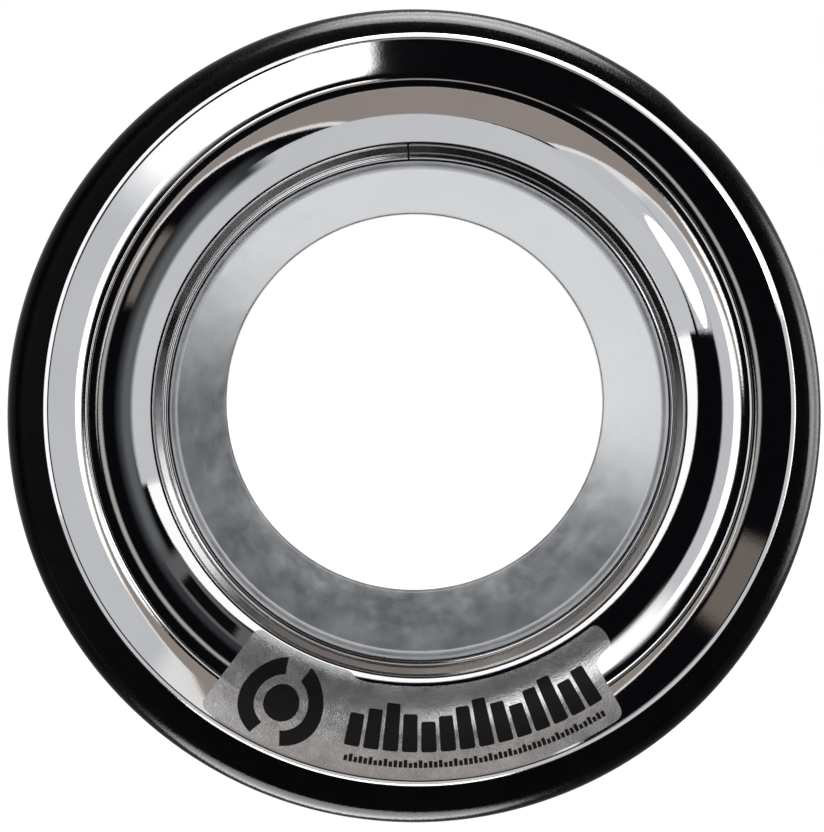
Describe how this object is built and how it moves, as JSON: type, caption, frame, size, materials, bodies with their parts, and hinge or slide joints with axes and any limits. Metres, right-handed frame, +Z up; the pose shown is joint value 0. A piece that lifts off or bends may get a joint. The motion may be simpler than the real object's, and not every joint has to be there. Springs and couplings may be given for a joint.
{
  "type": "bass drum port insert",
  "caption": "Chromed bell and short satin tube that line a round hole in a bass drum's front head, with a soft damping ring behind the rim and a grooved flexible collar.",
  "frame": {"origin": "on the bore's axis, in the plane of the drumhead's outer face, where the collar's flange bears", "axes": "+Y along the bore, from the bell into the drum; the bell faces -Y; +Z up, with the badge at the bottom"},
  "size_m": [0.2016, 0.1109, 0.2016],
  "materials": {
    "bell_chrome": "mirror-bright chrome plating with slight waviness",
    "trim_chrome": "bright chrome strip, finely ridged",
    "satin_metal": "cloudy satin silver",
    "collar_rubber": "matte black, moulded",
    "ring_rubber": "semi-matte black with a fine grain",
    "frosted_film": "frosted silver film with black print"
  },
  "bodies": {
    "port": {"front_bell": "bell_chrome", "throat_hoop": "trim_chrome", "port_tube": "satin_metal", "neck_collar": "collar_rubber", "badge_film": "frosted_film"},
    "ring": {"damping_ring": "ring_rubber"}
  },
  "joints": [
    {"name": "damping_ring_slide", "type": "slide", "parent": "port", "child": "ring", "axis": [0, 1, 0], "range_m": [0, 0.011]}
  ]
}
